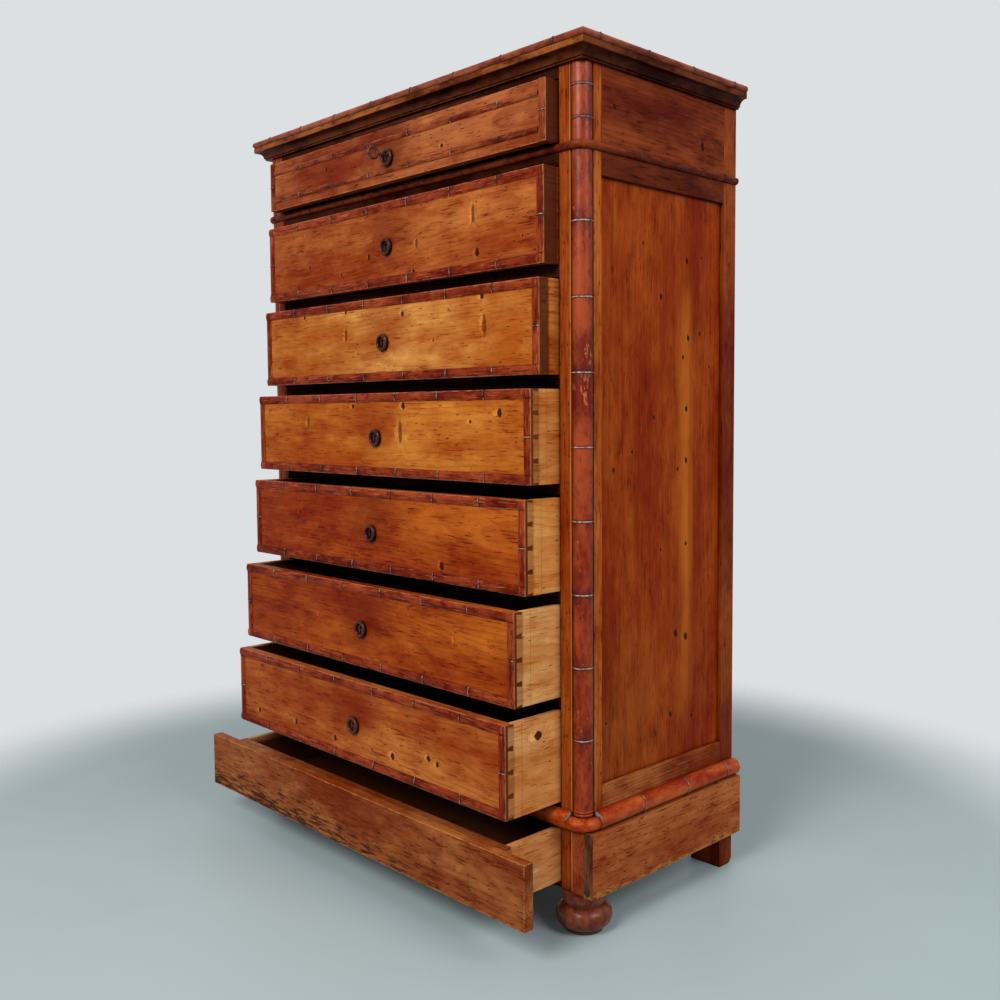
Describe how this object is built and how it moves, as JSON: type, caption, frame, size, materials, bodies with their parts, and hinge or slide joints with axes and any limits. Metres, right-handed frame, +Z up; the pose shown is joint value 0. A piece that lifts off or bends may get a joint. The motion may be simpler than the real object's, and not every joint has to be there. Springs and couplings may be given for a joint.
{
  "type": "semainier chest of drawers",
  "caption": "Tall narrow chest of locking drawers in pitch pine, with turned corner columns, half-round bamboo-style mouldings, a coved cornice and bun front feet.",
  "frame": {"origin": "on the floor, midway between the left and right ends, and midway between the back and the open plinth drawer's face", "axes": "+Z up, +X to the right seen from the front, the drawers slide out along -Y"},
  "size_m": [1.015, 0.5932, 1.507],
  "materials": {
    "honey_pine": "old wax over varnish, satin",
    "red_pine": "red-brown stain under varnish, glossy",
    "raw_pine": "bare aged pine, dull",
    "lock_iron": "dark oiled iron",
    "key_steel": "worn bright steel"
  },
  "bodies": {
    "carcass": {"top_board": "honey_pine", "top_bead": "red_pine", "cornice": "red_pine", "string_moulding": "red_pine", "base_moulding": "red_pine", "front_posts": "honey_pine", "rear_posts": "honey_pine", "corner_columns": "red_pine", "side_rails": "red_pine", "side_panels": "honey_pine", "back_boards": "raw_pine", "front_rails": "red_pine", "drawer_runners": "raw_pine", "plinth_boards": "red_pine", "bun_feet": "red_pine"},
    "drawer_1": {"drawer_1_front": "honey_pine", "drawer_1_box": "raw_pine", "drawer_1_banding": "red_pine", "drawer_1_escutcheon": "red_pine", "drawer_1_lock": "lock_iron"},
    "drawer_2": {"drawer_2_front": "honey_pine", "drawer_2_box": "raw_pine", "drawer_2_banding": "red_pine", "drawer_2_escutcheon": "red_pine", "drawer_2_lock": "lock_iron"},
    "drawer_3": {"drawer_3_front": "honey_pine", "drawer_3_box": "raw_pine", "drawer_3_banding": "red_pine", "drawer_3_escutcheon": "red_pine", "drawer_3_lock": "lock_iron"},
    "drawer_4": {"drawer_4_front": "honey_pine", "drawer_4_box": "raw_pine", "drawer_4_banding": "red_pine", "drawer_4_escutcheon": "red_pine", "drawer_4_lock": "lock_iron"},
    "drawer_5": {"drawer_5_front": "honey_pine", "drawer_5_box": "raw_pine", "drawer_5_banding": "red_pine", "drawer_5_escutcheon": "red_pine", "drawer_5_lock": "lock_iron"},
    "drawer_6": {"drawer_6_front": "honey_pine", "drawer_6_box": "raw_pine", "drawer_6_banding": "red_pine", "drawer_6_escutcheon": "red_pine", "drawer_6_lock": "lock_iron"},
    "drawer_7": {"drawer_7_front": "honey_pine", "drawer_7_box": "raw_pine", "drawer_7_banding": "red_pine", "drawer_7_escutcheon": "red_pine", "drawer_7_lock": "lock_iron"},
    "drawer_8": {"drawer_8_front": "red_pine", "drawer_8_box": "raw_pine"},
    "bolt_1": {"drawer_1_bolt": "lock_iron"},
    "bolt_2": {"drawer_2_bolt": "lock_iron"},
    "bolt_3": {"drawer_3_bolt": "lock_iron"},
    "bolt_4": {"drawer_4_bolt": "lock_iron"},
    "bolt_5": {"drawer_5_bolt": "lock_iron"},
    "bolt_6": {"drawer_6_bolt": "lock_iron"},
    "bolt_7": {"drawer_7_bolt": "lock_iron"},
    "key": {"key": "key_steel"}
  },
  "joints": [
    {"name": "drawer_1_slide", "type": "slide", "parent": "carcass", "child": "drawer_1", "axis": [0, -1, 0], "range_m": [-0.0327, 0.2873]},
    {"name": "drawer_2_slide", "type": "slide", "parent": "carcass", "child": "drawer_2", "axis": [0, -1, 0], "range_m": [-0.038, 0.282]},
    {"name": "drawer_3_slide", "type": "slide", "parent": "carcass", "child": "drawer_3", "axis": [0, -1, 0], "range_m": [-0.0498, 0.2702]},
    {"name": "drawer_4_slide", "type": "slide", "parent": "carcass", "child": "drawer_4", "axis": [0, -1, 0], "range_m": [-0.0708, 0.2492]},
    {"name": "drawer_5_slide", "type": "slide", "parent": "carcass", "child": "drawer_5", "axis": [0, -1, 0], "range_m": [-0.0851, 0.2349]},
    {"name": "drawer_6_slide", "type": "slide", "parent": "carcass", "child": "drawer_6", "axis": [0, -1, 0], "range_m": [-0.1117, 0.2083]},
    {"name": "drawer_7_slide", "type": "slide", "parent": "carcass", "child": "drawer_7", "axis": [0, -1, 0], "range_m": [-0.133, 0.187]},
    {"name": "drawer_8_slide", "type": "slide", "parent": "carcass", "child": "drawer_8", "axis": [0, -1, 0], "range_m": [-0.1412, 0.1788]},
    {"name": "bolt_1_slide", "type": "slide", "parent": "drawer_1", "child": "bolt_1", "axis": [0, 0, 1], "range_m": [0, 0.01]},
    {"name": "bolt_2_slide", "type": "slide", "parent": "drawer_2", "child": "bolt_2", "axis": [0, 0, 1], "range_m": [0, 0.01]},
    {"name": "bolt_3_slide", "type": "slide", "parent": "drawer_3", "child": "bolt_3", "axis": [0, 0, 1], "range_m": [0, 0.01]},
    {"name": "bolt_4_slide", "type": "slide", "parent": "drawer_4", "child": "bolt_4", "axis": [0, 0, 1], "range_m": [0, 0.01]},
    {"name": "bolt_5_slide", "type": "slide", "parent": "drawer_5", "child": "bolt_5", "axis": [0, 0, 1], "range_m": [0, 0.01]},
    {"name": "bolt_6_slide", "type": "slide", "parent": "drawer_6", "child": "bolt_6", "axis": [0, 0, 1], "range_m": [0, 0.01]},
    {"name": "bolt_7_slide", "type": "slide", "parent": "drawer_7", "child": "bolt_7", "axis": [0, 0, 1], "range_m": [0, 0.01]},
    {"name": "key_turn", "type": "hinge", "parent": "drawer_1", "child": "key", "pos_m": [0, -0.1681, 1.38975], "axis": [0, 1, 0], "range_deg": [0, 360]}
  ],
  "couplings": [
    {"joint": "key_turn", "follows": "bolt_1_slide", "rad_per_m": 628.3}
  ]
}
